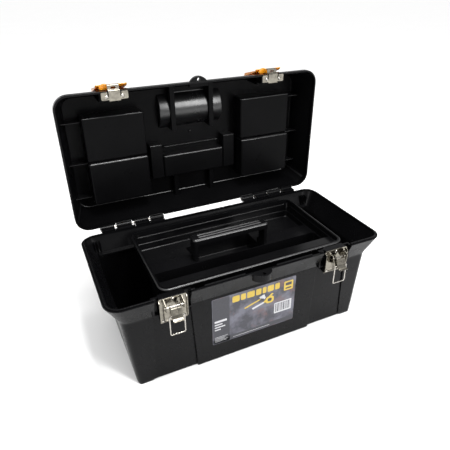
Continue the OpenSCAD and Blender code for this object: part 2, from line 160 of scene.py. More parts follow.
def rod(start, end, r, segments=24, ease=0.0):
    """A round bar between two points."""
    start, end = Vector(start), Vector(end)
    along = (end - start).normalized()
    side = along.orthogonal().normalized()
    other = along.cross(side)
    stops = [(start, r), (end, r)]
    if ease:
        near, mid = along * ease, along * ease * 0.3
        stops = [(start, r - ease), (start + mid, r - ease * 0.3), (start + near, r),
                 (end - near, r), (end - mid, r - ease * 0.3), (end, r - ease)]
    rings = []
    for centre, radius in stops:
        rings.append([centre + (side * math.cos(a) + other * math.sin(a)) * radius
                      for a in (2 * math.pi * k / segments for k in range(segments))])
    return skin(rings)


def tube(points, r, segments=14):
    """A round wire along points, with its ends closed."""
    points = [Vector(p) for p in points]
    rings = []
    side = None
    for k, point in enumerate(points):
        along = (points[min(k + 1, len(points) - 1)] - points[max(k - 1, 0)]).normalized()
        side = (along.orthogonal() if side is None else side - along * side.dot(along)).normalized()
        other = along.cross(side)
        rings.append([point + (side * math.cos(a) + other * math.sin(a)) * r
                      for a in (2 * math.pi * n / segments for n in range(segments))])
    return skin(rings)


def mirrored(bm):
    """A copy of a solid on the other side of x = 0."""
    twin = bm.copy()
    for v in twin.verts:
        v.co.x = -v.co.x
    bmesh.ops.reverse_faces(twin, faces=twin.faces[:])
    return twin


def both(*solids):
    """The solids and their mirror images."""
    return [*solids, *(mirrored(bm) for bm in solids)]


def to_object(name, bm):
    """An object made of a solid, which is used up."""
    data = bpy.data.meshes.new(name)
    bm.to_mesh(data)
    bm.free()
    piece = bpy.data.objects.new(name, data)
    bpy.context.scene.collection.objects.link(piece)
    return piece


def baked(piece):
    """Applies the piece's modifiers."""
    graph = bpy.context.evaluated_depsgraph_get()
    data = bpy.data.meshes.new_from_object(piece.evaluated_get(graph))
    old = piece.data
    piece.modifiers.clear()
    piece.data = data
    bpy.data.meshes.remove(old)
    return piece


def carve(piece, solids, operation):
    """Adds solids to the piece or cuts them out of it."""
    helpers = []
    for n, bm in enumerate(solids):
        helper = to_object(f"helper_{n}", bm)
        helpers.append(helper)
        change = piece.modifiers.new("carve", "BOOLEAN")
        change.operation = operation
        change.solver = "MANIFOLD"
        change.object = helper
    baked(piece)
    for helper in helpers:
        data = helper.data
        bpy.data.objects.remove(helper)
        bpy.data.meshes.remove(data)
    return piece


def cut_away(solid, *cutters):
    """A solid with others cut out of it, as a solid again."""
    helper = carve(to_object("blank", solid), cutters, "DIFFERENCE")
    bm = bmesh.new()
    bm.from_mesh(helper.data)
    data = helper.data
    bpy.data.objects.remove(helper)
    bpy.data.meshes.remove(data)
    return bm


def moulding(name, base, adds=(), cuts=(), late=()):
    """One solid made of a base, what is added, what is cut from both, and what is added after that."""
    piece = to_object(name, base)
    if adds:
        carve(piece, adds, "UNION")
    if cuts:
        carve(piece, cuts, "DIFFERENCE")
    if late:
        carve(piece, late, "UNION")
    return piece


def finish_mesh(piece, angle=32, matrix=None):
    """Scales to metres, welds, and shades smooth except over sharp edges."""
    data = piece.data
    bm = bmesh.new()
    bm.from_mesh(data)
    bmesh.ops.remove_doubles(bm, verts=bm.verts, dist=0.002)
    bmesh.ops.dissolve_degenerate(bm, edges=bm.edges, dist=0.001)
    if matrix is not None:
        bm.transform(matrix)
    bm.transform(Matrix.Diagonal((MM, MM, MM, 1)))
    bmesh.ops.recalc_face_normals(bm, faces=bm.faces)
    bm.to_mesh(data)
    bm.free()
    data.shade_smooth()
    data.set_sharp_from_angle(angle=math.radians(angle))
    normals = piece.modifiers.new("normals", "WEIGHTED_NORMAL")
    normals.keep_sharp = True
    normals.weight = 100
    return baked(piece)


def place(piece, body, slot, *nodes, material=None):
    """Puts a finished piece on its body, in the place of its CAD nodes."""
    if material:
        piece.data.materials.clear()
        piece.data.materials.append(material)
    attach(piece, body)
    if nodes:
        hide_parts(*nodes)
    return piece


# ---- materials ----

def new_material(name):
    """A material with its node tree, its shader and object coordinates in metres."""
    material = bpy.data.materials.new(name)
    material.use_nodes = True
    tree = material.node_tree
    spot = tree.nodes.new("ShaderNodeTexCoord").outputs["Object"]
    return material, tree, tree.nodes["Principled BSDF"], spot


def noise(tree, spot, scale, detail=3.0, rough=0.55, stretch=None):
    """A noise value between 0 and 1, its pattern drawn out along the axes by stretch."""
    if stretch:
        mapping = tree.nodes.new("ShaderNodeMapping")
        mapping.inputs["Scale"].default_value = stretch
        tree.links.new(spot, mapping.inputs["Vector"])
        spot = mapping.outputs["Vector"]
    node = tree.nodes.new("ShaderNodeTexNoise")
    node.inputs["Scale"].default_value = scale
    node.inputs["Detail"].default_value = detail
    node.inputs["Roughness"].default_value = rough
    tree.links.new(spot, node.inputs["Vector"])
    return node.outputs["Fac"]


def spread(tree, value, low, high, start=0.3, end=0.7):
    """Turns a noise value into one that runs between low and high."""
    node = tree.nodes.new("ShaderNodeMapRange")
    node.inputs["From Min"].default_value = start
    node.inputs["From Max"].default_value = end
    node.inputs["To Min"].default_value = low
    node.inputs["To Max"].default_value = high
    tree.links.new(value, node.inputs["Value"])
    return node.outputs["Result"]


# where a colour mix node keeps its factor, its two colours and its result
MIX_FACTOR, MIX_A, MIX_B, MIX_RESULT = 0, 6, 7, 2


def between(tree, factor, one, two):
    """Mixes two colours, the first of which may be another node's output."""
    node = tree.nodes.new("ShaderNodeMix")
    node.data_type = "RGBA"
    tree.links.new(factor, node.inputs[MIX_FACTOR])
    if isinstance(one, tuple):
        node.inputs[MIX_A].default_value = (*one, 1)
    else:
        tree.links.new(one, node.inputs[MIX_A])
    node.inputs[MIX_B].default_value = (*two, 1)
    return node.outputs[MIX_RESULT]


def bumped(tree, shader, *layers):
    """Stacks bumps, each a height, its distance in metres and its strength."""
    last = None
    for height, distance, strength in layers:
        node = tree.nodes.new("ShaderNodeBump")
        node.inputs["Distance"].default_value = distance
        node.inputs["Strength"].default_value = strength
        tree.links.new(height, node.inputs["Height"])
        if last:
            tree.links.new(last, node.inputs["Normal"])
        last = node.outputs["Normal"]
    tree.links.new(last, shader.inputs["Normal"])


def moulded_plastic(name, dark, light, smooth, dull, grain, specular):
    """Polypropylene: a fine spark-eroded grain, slow waves from moulding, and faint handling marks."""
    material, tree, shader, spot = new_material(name)
    shader.inputs["Specular IOR Level"].default_value = specular
    tone = spread(tree, noise(tree, spot, 9, 2), 0, 1)
    tree.links.new(between(tree, tone, dark, light), shader.inputs["Base Color"])
    rub = spread(tree, noise(tree, spot, 26, 5, 0.62), smooth, dull)
    tree.links.new(rub, shader.inputs["Roughness"])
    fine = noise(tree, spot, 2600, 2)
    waves = noise(tree, spot, 14, 1)
    bumped(tree, shader, (waves, 0.0012, 0.25), (fine, 0.00006, grain))
    return material


def plated_metal(name, colour, deep, smooth, dull, stretch):
    """Plated or drawn steel: a little uneven in tone, with fine lines along the work."""
    material, tree, shader, spot = new_material(name)
    shader.inputs["Metallic"].default_value = 1.0
    patches = spread(tree, noise(tree, spot, 120, 3), 0, 1)
    tree.links.new(between(tree, patches, colour, deep), shader.inputs["Base Color"])
    lines = noise(tree, spot, 900, 3, 0.6, stretch)
    tree.links.new(spread(tree, lines, smooth, dull), shader.inputs["Roughness"])
    dents = noise(tree, spot, 90, 2)
    bumped(tree, shader, (dents, 0.0004, 0.35), (lines, 0.00002, 0.5))
    return material


def amber_plastic(name):
    """Clear amber polypropylene with flow clouds and a soft surface."""
    material, tree, shader, spot = new_material(name)
    shader.inputs["Transmission Weight"].default_value = 0.35
    shader.inputs["IOR"].default_value = 1.49
    clouds = spread(tree, noise(tree, spot, 60, 4), 0, 1)
    colour = between(tree, clouds, (0.90, 0.39, 0.02), (0.82, 0.30, 0.008))
    tree.links.new(colour, shader.inputs["Base Color"])
    tree.links.new(spread(tree, noise(tree, spot, 140, 3), 0.16, 0.32), shader.inputs["Roughness"])
    bumped(tree, shader, (noise(tree, spot, 30, 2), 0.0006, 0.3))
    return material


def printed_film(name, dark, light, accent):
    """The label's ground: a soft out-of-focus picture in greys under a clear film."""
    material, tree, shader, spot = new_material(name)
    shader.inputs["Coat Weight"].default_value = 0.08
    shader.inputs["Coat Roughness"].default_value = 0.12
    blots = spread(tree, noise(tree, spot, 38, 4, 0.6), 0, 1, 0.4, 0.62)
    ground = between(tree, blots, dark, light)
    stains = spread(tree, noise(tree, spot, 22, 5, 0.7), 0, 0.8, 0.55, 0.66)
    tree.links.new(between(tree, stains, ground, accent), shader.inputs["Base Color"])
    tree.links.new(spread(tree, noise(tree, spot, 70, 2), 0.28, 0.42), shader.inputs["Roughness"])
    bumped(tree, shader, (noise(tree, spot, 50, 2), 0.0003, 0.25))
    return material


def printed_ink(name, colour, worn):
    """Ink on the label, slightly uneven."""
    material, tree, shader, spot = new_material(name)
    patches = spread(tree, noise(tree, spot, 320, 3), 0, 1)
    tree.links.new(between(tree, patches, colour, worn), shader.inputs["Base Color"])
    tree.links.new(spread(tree, noise(tree, spot, 90, 2), 0.3, 0.45), shader.inputs["Roughness"])
    return material


# dark and light tone, smooth and dull roughness, grain, specular level
DEEP_BLACK = ((0.0020, 0.0020, 0.0023), (0.0030, 0.0030, 0.0034))
SOFT_BLACK = ((0.0024, 0.0024, 0.0027), (0.0036, 0.0036, 0.0040))
# darker than the shell's own tones: painted shade for the inside of the lid
PAINTED_SHADE_BLACK = ((0.0016, 0.0016, 0.0018), (0.0026, 0.0026, 0.0029))
SHELL = moulded_plastic("shell_plastic", *DEEP_BLACK, 0.22, 0.32, 0.30, 0.095)
TRAY = moulded_plastic("tray_plastic", *SOFT_BLACK, 0.19, 0.28, 0.22, 0.19)
# a lighter, glossier copy of the shell plastic: painted highlight on upward-facing ledges and edges, and also the
# grip well's truly glossier surface
GLOSS_AND_PAINTED_HIGHLIGHT = moulded_plastic("shell_gloss_and_painted_highlight", *SOFT_BLACK, 0.26, 0.34, 0.12, 0.6)
# a darker, duller copy of the shell plastic: painted shade on the inside of the lid
PAINTED_SHADE_PLASTIC = moulded_plastic("shell_painted_shade", *PAINTED_SHADE_BLACK, 0.26, 0.36, 0.30, 0.045)
GRIP = moulded_plastic("handle_plastic", *SOFT_BLACK, 0.32, 0.44, 0.40, 0.11)
AMBER = amber_plastic("amber_cover")
PLATE = plated_metal("plated_steel", (0.235, 0.22, 0.185), (0.14, 0.13, 0.11), 0.08, 0.17, (1, 1, 14))
WIRE = plated_metal("bright_steel", (0.38, 0.36, 0.33), (0.29, 0.275, 0.25), 0.09, 0.18, (14, 1, 1))
FILM = printed_film("label_film", (0.016, 0.016, 0.026), (0.085, 0.085, 0.11), (0.11, 0.05, 0.045))
YELLOW = printed_ink("ink_yellow", (0.46, 0.33, 0.035), (0.38, 0.26, 0.028))
WHITE = printed_ink("ink_white", (0.46, 0.46, 0.47), (0.38, 0.38, 0.40))
DARK = printed_ink("ink_dark", (0.012, 0.012, 0.018), (0.02, 0.02, 0.028))


# ---- sizes shared by several pieces ----

HINGE = pivot("lid_hinge")
RIM_Z = HINGE.z
FAR = 400.0

# box: half lengths and half widths at the rim, under the flare and at the base
HALF_X, HALF_Y = 244.5, 113.0
MID_X, MID_Y, MID_Z = 224.7, 98.3, 134.0
BASE_X, BASE_Y = 211.4, 97.2
WALL = 3.0
SKIN_INSET = 4.5
RIDGE_WIDE = 2.2
BAY_IN, BAY_OUT, BAY_Y = (109.5, 116.5), (181.2, 175.8), 95.6
PANEL_Y = 99.6
SHELF_X, SHELF_Y, SHELF_Z = 218.0, 86.0, 144.0
GUSSET_X = (60, 130, 200)
CORNER_RIB_X = (211, 216, 221)
END_RIB_Y = 62.0
FOOT_R, FOOT_TOP = 6.0, 4.0
LUG_R = 18.5
LOCK_Y = HINGE.y - 242.9 - 3.5
LOCK_R = 3.2

# hinge: barrels on the box, barrels on the lid, and the webs between them
BARREL_R = 5.0
BOX_BARRELS = ((84, 110), (146, 174.5))
LID_BARRELS = ((114, 141.5), (179, 204))
BARREL_WEBS = ((109.6, 113.7), (141.8, 146.4), (174.1, 178.7))

# latches
LATCH_X = 146.5
NOTCH_HALF, NOTCH_Z = 28.5, 140.0
SEAT_HALF = 20.0
PLATE_Y, PLATE_Z = -106.4, (124.0, 168.4)
PLATE_HALF = 22.0
SHEET = 1.2
RIVETS = ((-16, 128), (16, 128), (0, 164))
RIVET_HOLE_R = 1.65
LEVER_PIN = (-117.0, 158.0)
LEVER_HALF = 7.6
LINK_OUT, LINK_DOWN = 1.5, 14.0
CATCH_RIVET_X, CATCH_RIVET_S = 13.0, 234.0

# lid, in its closed attitude: x, -s (distance from the hinge), depth above its rim
ON_LID = Matrix.Translation(HINGE) @ Matrix.Rotation(-math.pi / 2, 4, "X")
FLIP = Matrix.Diagonal((-1, 1, 1, 1))
LID_X, LID_Y, LID_MIDDLE = 244.1, 120.25, -122.65
LID_ROOF = 62.5
LID_BAND = 10.0
LID_DRAFT = 14.0
PAN_X, PAN_S, PAN_D = (94.7, 202.5), (37, 117, 197), (23, 28)
PAN_WALL = 2.5
WELL_X, WELL_S, WELL_D, WELL_R = 61.6, 184, 78, 36
POCKET_X, POCKET_S, POCKET_D = (62.5, 87), (60, 127), 40
STORE_S, STORE_D = (60, 104), 39
RAIL_X = (33.0, 42.4)
END_RIB_S = (48, 113, 187)
CATCH_PAD_X = (LATCH_X - 24, LATCH_X + 24)
TAB_R, TAB_S = 18.0, 233.9

# carry handle and organiser covers
HANDLE_S, HANDLE_D = 118, 69
EARS = ((62.5, 67), (82.5, 87))
EAR_R = 6.0
ARM_X = (68.5, 81)
GRIP_D = HANDLE_D + 66
GRIP_HALF = 55.0
COVER_X, COVER_S, COVER_TOP = (92.0, 205.0), (40, 201), LID_ROOF + 0.3
COVER_PIN = (-35, 65.9)
COVER_LUG_X = (95, 196)
COVER_GAP = 9.4

TRAY_X = 7.5


def lid_brick(x, s, d, r=1.2, segments=3):
    """A brick on the closed lid: x, distance from the hinge, depth above the rim."""
    return brick((x[0], -s[1], d[0]), (x[1], -s[0], d[1]), r, segments)


# ---- box ----

def side_bays():
    """The four latch bays' cutters, two on each long side."""
    top = MID_Z - 0.5
    points = ((BAY_IN[0], -4), (BAY_OUT[0], -4), (BAY_OUT[1], top), (BAY_IN[1], top))
    for side in (-1, 1):
        reach = sorted((side * BAY_Y, side * 130.0))
        yield from both(prism(points, *reach, axis="y"))


def box_skin():
    """The outer walls with their middle panels and latch bays, hollowed."""
    outer = turned_shell(0, ((BASE_X - 4, BASE_Y - 4, 2, 6, 0), (BASE_X + 0.1, BASE_Y, 2.2, 9, 3.5),
                             (MID_X, MID_Y, MID_Z, 14, 3), (HALF_X, HALF_Y, RIM_Z - 0.5, 25, 1.2),
                             (HALF_X - 2.2, HALF_Y - 2.2, RIM_Z - 0.5, 23, 0)))
    i = SKIN_INSET
    cavity = turned_shell(0, ((BASE_X - i - 6, BASE_Y - i - 6, 5, 6, 0), (BASE_X - i, BASE_Y - i, 5, 7, 5),
                              (MID_X - i, MID_Y - i, MID_Z, 11, 3),
                              (HALF_X - i + 1.2, HALF_Y - i + 1.2, 174, 21, 0)))
    panel = ((-BAY_IN[0], 2), (BAY_IN[0], 2), (116.6, 136.8), (-116.6, 136.8))
    panels = [prism(panel, -PANEL_Y, -80, "y", 1.1), prism(panel, 80, PANEL_Y, "y", 1.1)]
    again = cavity.copy()
    piece = moulding("box_moulding", outer, panels, [cavity, *side_bays()])
    # cut a second time, so that the middle panels reach inwards only as far as the wall
    return carve(piece, [again], "DIFFERENCE")


def rim_ridge():
    """The ridge that locates the lid, with gaps where water can leave."""
    out_x, out_y = HALF_X - 4.1, HALF_Y - 3.2
    in_x, in_y = out_x - RIDGE_WIDE, out_y - RIDGE_WIDE
    ridge = slab((-out_x, -out_y, RIM_Z - 4), (out_x, out_y, RIM_Z + 2), 21, 0.7, steps=2)
    inner = slab((-in_x, -in_y, 0), (in_x, in_y, FAR), 19)
    gap_y, gap_z = (-HALF_Y, -HALF_Y + 8), (RIM_Z - 1, RIM_Z + 9)
    gaps = [brick((-28, gap_y[0], gap_z[0]), (28, gap_y[1], gap_z[1])),
            *both(brick((96, gap_y[0], gap_z[0]), (112, gap_y[1], gap_z[1])))]
    return cut_away(ridge, inner, *gaps)


def box_ledges():
    """The tray's shelves and their gussets, the feet, and the ribs in the corners and on the ends."""
    parts = []
    for side in (-1, 1):
        shelf = sorted((side * SHELF_Y, side * (MID_Y - 1)))
        parts.append(brick((-SHELF_X, shelf[0], SHELF_Z - 3), (SHELF_X, shelf[1], SHELF_Z), 0.9, 2))
        root = side * (MID_Y - 2)
        gusset = ((root, SHELF_Z - 14), (side * (SHELF_Y + 0.6), SHELF_Z - 2), (root, SHELF_Z - 2))
        for x in GUSSET_X:
            parts += both(prism(gusset, x - 1, x + 1, "x", 0.4))
        foot = sorted((side * (BASE_Y - 17), side * (BASE_Y - 1)))
        parts += both(slab((BASE_X - 29, foot[0], 0), (BASE_X - 1, foot[1], FOOT_TOP), FOOT_R, 0.8, arc=5))
    parts.append(slab((-30, -20, 0), (30, 20, FOOT_TOP), FOOT_R, 0.8, arc=5))
    for x in CORNER_RIB_X:
        parts += both(brick((x, MID_Y - 4, MID_Z + 6), (x + 1.6, MID_Y + 5, RIM_Z - 8), 0.5, 2))
    rib = ((MID_X - 4, MID_Z - 16), (MID_X + 4, MID_Z - 8), (MID_X + 4, MID_Z + 6), (MID_X - 4, MID_Z + 6))
    for y in (-END_RIB_Y, END_RIB_Y):
        parts += both(prism(rib, y - 1.5, y + 1.5, "y", 0.5))
    return parts


def box_barrels():
    """The hinge barrels on their flanges, with a web in each gap between barrels."""
    root = HALF_Y - 4
    parts = []
    for low, high in BOX_BARRELS:
        parts += both(rod((low, HINGE.y, RIM_Z), (high, HINGE.y, RIM_Z), BARREL_R, 32, 0.5),
                      brick((low + 0.3, root, RIM_Z - 4.9), (high - 0.3, HINGE.y, RIM_Z - 0.7), 0.7, 2))
    for low, high in BARREL_WEBS:
        parts += both(brick((low, root, RIM_Z - 4.7), (high, HINGE.y - 6.5, RIM_Z - 0.9), 0.3, 2))
    return parts


def latch_notch(low_x, high_x, back_y, low_z):
    """Cuts all that is in front of a latch's seat."""
    return brick((low_x, -140, low_z), (high_x, back_y, 190))


def box_piece():
    piece = box_skin()
    seat = (LATCH_X - SEAT_HALF, LATCH_X + SEAT_HALF)
    notch = (LATCH_X - NOTCH_HALF, LATCH_X + NOTCH_HALF)
    seat_top = PLATE_Z[1] - 0.1
    adds = [rim_ridge(), *box_ledges(), *box_barrels()]
    adds += both(brick((notch[0] - WALL, -105.5, NOTCH_Z - WALL), (notch[1] + WALL, -97.5, seat_top)),
                 brick((seat[0], PLATE_Y, PLATE_Z[0]), (seat[1], -94, seat_top), 0.8, 2))
    lug = arc_points((0, -HALF_Y + 6), (LUG_R, LUG_R), 195, 150, 20)
    adds.append(prism(lug, RIM_Z - 13, RIM_Z - 0.5, "z", 0.9))
    cuts = [rod((0, LOCK_Y, 150), (0, LOCK_Y, 190), LOCK_R, 32)]
    cuts += both(latch_notch(notch[0], seat[0], -100.5, NOTCH_Z),
                 latch_notch(seat[1], notch[1], -100.5, NOTCH_Z),
                 latch_notch(*notch, PLATE_Y, NOTCH_Z), latch_notch(*notch, -90, PLATE_Z[1]))
    carve(piece, adds, "UNION")
    carve(piece, cuts, "DIFFERENCE")
    finish_mesh(piece)
    return place(piece, "box", "shell_plastic", "box_body", material=SHELL)


# ---- lid ----

def pan_bricks(grow, up, r, segments=3):
    """One organiser, two steps deep. A negative grow gives its pockets."""
    gap = -grow / 2 if grow < 0 else 0
    x = (PAN_X[0] - grow, PAN_X[1] + grow)
    yield lid_brick(x, (PAN_S[0] - grow, PAN_S[1] - gap), (PAN_D[0] - grow, up), r, segments)
    yield lid_brick(x, (PAN_S[1] + gap, PAN_S[2] + grow), (PAN_D[1] - grow, up), r, segments)


def lid_inside():
    """What stands on the inside of the lid, drawn up into its roof."""
    top = LID_ROOF - 1
    # the front rails and the end ribs follow the slope of the lid's walls
    rail = ((-150, 38), (-150, top), (-226.5, top - 1), (-232.8, 38))
    rib = ((PAN_X[1] - 1, 40), (233.2, 40), (226.5, top - 1), (PAN_X[1] - 1, top - 1))
    parts = [*pan_bricks(0, top + 2, 4.0, 4), lid_brick(POCKET_X, POCKET_S, (POCKET_D, top), 2.2),
             prism(rail, *RAIL_X, "x", 1.2), lid_brick(RAIL_X, (15, 61), (45, top), 1.2),
             lid_brick(CATCH_PAD_X, (226, 241.5), (0.2, 20), 1.2),
             lid_brick(CATCH_PAD_X, (222, 227.5), (16, top - 4), 1.0)]
    parts += [prism(rib, -s - 1, -s + 1, "y", 0.5) for s in END_RIB_S]
    well = rod((-WELL_X, -WELL_S, WELL_D), (WELL_X, -WELL_S, WELL_D), WELL_R, 96, 1.8)
    return [*both(*parts), cut_away(well, brick((-200, -300, top), (200, 0, 200))),
            lid_brick((-WELL_X, WELL_X), STORE_S, (STORE_D, top + 1), 3.2, 4),
            lid_brick((-55.7, 55.7), (114.4, 117.8), (53, top), 1.5, 3),
            rod((0, -139, 56.5), (0, -139, top), 2.2, 16, 1.0)]


def lid_skin_keys(inset, top):
    """The lid's section. Its rim band stands a little proud of the drafted wall."""
    x, y, r = LID_X - inset, LID_Y - inset, 25 - inset
    if inset:
        rim, step, edge = ((x, y, -3, r, 0),), 0.0, 3.0
    else:
        rim, step, edge = ((x - 1.4, y - 1.4, 0, r - 1, 0), (x, y, 0, r, 1.0)), 0.9, 4.5
    return (*rim, (x, y, LID_BAND, r, 0.9), (x - step, y - step, LID_BAND + 0.4, r - 0.5, 0.5),
            (x - LID_DRAFT, y - LID_DRAFT, top, r - 3, edge), (x - 24, y - 24, top, 14, 0))


def lid_fittings():
    """The hinge barrels with their legs, the handle's ears, the covers' lugs and the padlock tab."""
    parts = []
    for low, high in LID_BARRELS:
        parts += both(rod((low, 0, 0), (high, 0, 0), BARREL_R, 32, 0.5),
                      brick((low + 0.3, -6, 0.6), (high - 0.3, 0, 5), 0.7, 2),
                      brick((low + 0.3, -3, -14.2), (high - 0.3, 3, 1), 0.8, 2))
    for low, high in EARS:
        sides = (HANDLE_S - EAR_R, HANDLE_S + EAR_R)
        parts += both(lid_brick((low, high), sides, (LID_ROOF - 2, HANDLE_D), 0),
                      rod((low, -HANDLE_S, HANDLE_D), (high, -HANDLE_S, HANDLE_D), EAR_R, 32, 0.5))
    for x in COVER_LUG_X:
        parts += both(lid_brick((x, x + 6), (32, 38), (LID_ROOF - 2, COVER_PIN[1]), 0),
                      rod((x, *COVER_PIN), (x + 6, *COVER_PIN), 3, 24, 0.4))
    tab = arc_points((0, -TAB_S), (TAB_R, TAB_R), 180, 180, 28)
    return [*parts, prism(tab, 0.4, 8.4, "z", 1.1, 3)]


def lid_hollows():
    """The organisers' pockets, the handle's pockets, the grip well, the small store and the holes."""
    w = PAN_WALL
    pocket = lid_brick((EARS[0][1], EARS[1][0]), (POCKET_S[0] + w, POCKET_S[1] - w),
                       (POCKET_D + w, LID_ROOF + 0.2), 0.8)
    knuckles = [rod((low - 1.5, 0, 0), (high + 1.5, 0, 0), BARREL_R + 1, 32) for low, high in BOX_BARRELS]
    well_x = WELL_X - w
    return [*both(*pan_bricks(-w, 200, 1.5), pocket, *knuckles),
            rod((-well_x, -WELL_S, WELL_D), (well_x, -WELL_S, WELL_D), WELL_R - w, 96, 1.5),
            lid_brick((-well_x, well_x), (STORE_S[0] + w, STORE_S[1] - w), (STORE_D + w, 200), 1.5),
            rod((0, LOCK_Y - HINGE.y, -5), (0, LOCK_Y - HINGE.y, 30), LOCK_R, 32)]


def paint_lid_highlight_and_shade(piece):
    """Gives the grip well a glossier surface with some painted highlight, paints highlights on the upward-facing
    ledges with a lighter, glossier copy of the plastic, and paints shade on the rest of the inside with a darker,
    duller copy.
    """
    piece.data.materials.append(GLOSS_AND_PAINTED_HIGHLIGHT)
    piece.data.materials.append(PAINTED_SHADE_PLASTIC)
    to_closed = ON_LID.inverted()
    for face in piece.data.polygons:
        x, y, d = to_closed @ (face.center / MM)
        inset = 1.5 + LID_DRAFT * max(0.0, d - LID_BAND) / (LID_ROOF - LID_BAND)
        inside = abs(x) < LID_X - inset and abs(y - LID_MIDDLE) < LID_Y - inset and 0.2 < d < LID_ROOF - 1.5
        if abs(math.hypot(y + WELL_S, d - WELL_D) - WELL_R) < 0.6 and abs(x) < WELL_X:
            face.material_index = 1
        elif inside:
            # upward-facing faces get the painted highlight, the rest of the inside gets the painted shade
            face.material_index = 1 if face.normal.z > 0.3 and y < -20 else 2


def lid_piece():
    outer = turned_shell(LID_MIDDLE, lid_skin_keys(0, LID_ROOF))
    cavity = turned_shell(LID_MIDDLE, lid_skin_keys(WALL, LID_ROOF - WALL))
    piece = moulding("lid_moulding", outer, (), [cavity], lid_inside())
    carve(piece, lid_fittings(), "UNION")
    carve(piece, lid_hollows(), "DIFFERENCE")
    finish_mesh(piece, matrix=ON_LID)
    place(piece, "lid", "shell_plastic", "lid_shell", material=SHELL)
    paint_lid_highlight_and_shade(piece)
    return piece


# ---- tray ----

def tray_handle():
    """The bar across the tray, with two grooves along its top."""
    bar = slab((-74, -9, 144.4), (70, 12.5, 188), 5, 4, steps=5)
    grooves = [rod((-62, y, 189.2), (58, y, 189.2), 2.4, 20, 0.8) for y in (-1.6, 5.1)]
    return cut_away(bar, brick((-66, -30, 100), (62, 30, 177), 2.4), *grooves)


def tray_piece():
    wall_t, top, deep, bay_floor = 2.0, 170.0, 104.0, 134.0
    lip, out, inner, low = (167.5, 92.4), (164.1, 89.0), (162.1, 87.0), (159.6, 84.5)
    channel, bay = (-57.0, -13.5), (18.0, 83.4)
    pit_x, pit_y = (-73.5, 54.5), (-11.5, 58.0)
    under = deep - wall_t
    wide = low[0] + wall_t
    base = slab((-lip[0], -lip[1], 163.4), (lip[0], lip[1], top), 16, 2.9, steps=6)
    adds = [slab((-out[0], -out[1], 144.2), (out[0], out[1], 168.5), 13, 1.5),
            slab((-wide, bay[0] - wall_t, bay_floor - wall_t), (wide, 85.4, 146.5), 8, 2),
            slab((-wide, channel[0] - wall_t, under), (wide, channel[1] + wall_t, 146.5), 8, 2.5),
            brick((pit_x[0] - wall_t, pit_y[0] - wall_t, under),
                  (pit_x[1] + wall_t, pit_y[1] + wall_t, 146), 1.5)]
    groove = cut_away(slab((-163.6, -88.5, 168.6), (163.6, 88.5, 172), 12.4),
                      slab((-162.7, -87.6, 160), (162.7, 87.6, 180), 11.6))
    cuts = [groove,
            slab((-inner[0], -inner[1], 160), (inner[0], inner[1], FAR), 11, 1.5),
            brick((-inner[0] + 1, channel[0], 146), (inner[0] - 1, inner[1] - 1, FAR), 1.2),
            slab((-low[0], bay[0], bay_floor), (low[0], bay[1], FAR), 6, 2.2),
            slab((-low[0], channel[0], deep), (low[0], channel[1], FAR), 6, 2.5),
            brick((pit_x[0], pit_y[0], deep), (pit_x[1], pit_y[1], FAR), 1.5),
            brick((-inner[0], -inner[1], 100), (inner[0], channel[0] - wall_t, 158), 1.0)]
    piece = moulding("tray_tub", base, adds, cuts)
    for v in piece.data.vertices:
        v.co.x += TRAY_X
    carve(piece, [tray_handle()], "UNION")
    finish_mesh(piece)
    place(piece, "tray", "tray_plastic", "tote_tray", material=TRAY)
    # the rounded upper edges of the rim and of the handle get the lighter, glossier copy: painted highlight where
    # the light from above falls
    piece.data.materials.append(GLOSS_AND_PAINTED_HIGHLIGHT)
    for face in piece.data.polygons:
        if face.center.z > 0.167 and 0.2 < face.normal.z < 0.97:
            face.material_index = 1
    return piece


# ---- carry handle ----

def grip_rings():
    """The grip along X, its ends drawn in and four finger hollows on the side towards the lid."""
    half, depth, r, steps = 8.0, 11.0, 7.0, 44
    rings = []
    for n in range(steps + 1):
        x = -GRIP_HALF + 2 * GRIP_HALF * n / steps
        end = min(1.0, (GRIP_HALF - abs(x)) / 4)
        ease = math.sqrt(max(0.0, 1 - (1 - end) ** 2)) * 0.25 + 0.75
        hollow = 0.9 * (1 + math.cos(2 * math.pi * x / 25))
        low = (depth - hollow) * ease
        points = outline((-half * ease, -low), (half * ease, depth * ease), r * ease, 6)
        rings.append([(x, y - HANDLE_S, z + GRIP_D) for y, z in points])
    return rings


def handle_piece():
    foot, knee = HANDLE_D - 13, HANDLE_D + 8
    arm = ((-HANDLE_S - 6, foot), (-HANDLE_S + 6, foot), (-HANDLE_S + 6, knee),
           (-HANDLE_S + 5, GRIP_D), (-HANDLE_S - 5, GRIP_D), (-HANDLE_S - 6, knee))
    adds = both(prism(arm, *ARM_X, "x", 1.4, 3),
                rod((ARM_X[0], -HANDLE_S, GRIP_D), (ARM_X[1], -HANDLE_S, GRIP_D), 6, 32, 1.2),
                rod((54, -HANDLE_S, GRIP_D), (57.5, -HANDLE_S, GRIP_D), 7.4, 32, 0.9),
                brick((71, -HANDLE_S - 6.3, HANDLE_D + 14), (78.5, -HANDLE_S + 6.3, GRIP_D - 12), 1.0, 2))
    adds.append(skin(grip_rings()))
    base = rod((-78, -HANDLE_S, GRIP_D), (78, -HANDLE_S, GRIP_D), 5.6, 32, 1)
    cuts = [rod((-90, -HANDLE_S, HANDLE_D), (90, -HANDLE_S, HANDLE_D), 2.55, 24)]
    piece = moulding("carry_grip", base, adds, cuts)
    finish_mesh(piece, matrix=ON_LID)
    return place(piece, "handle", "handle_plastic", "carry_handle", material=GRIP)


# ---- organiser covers ----

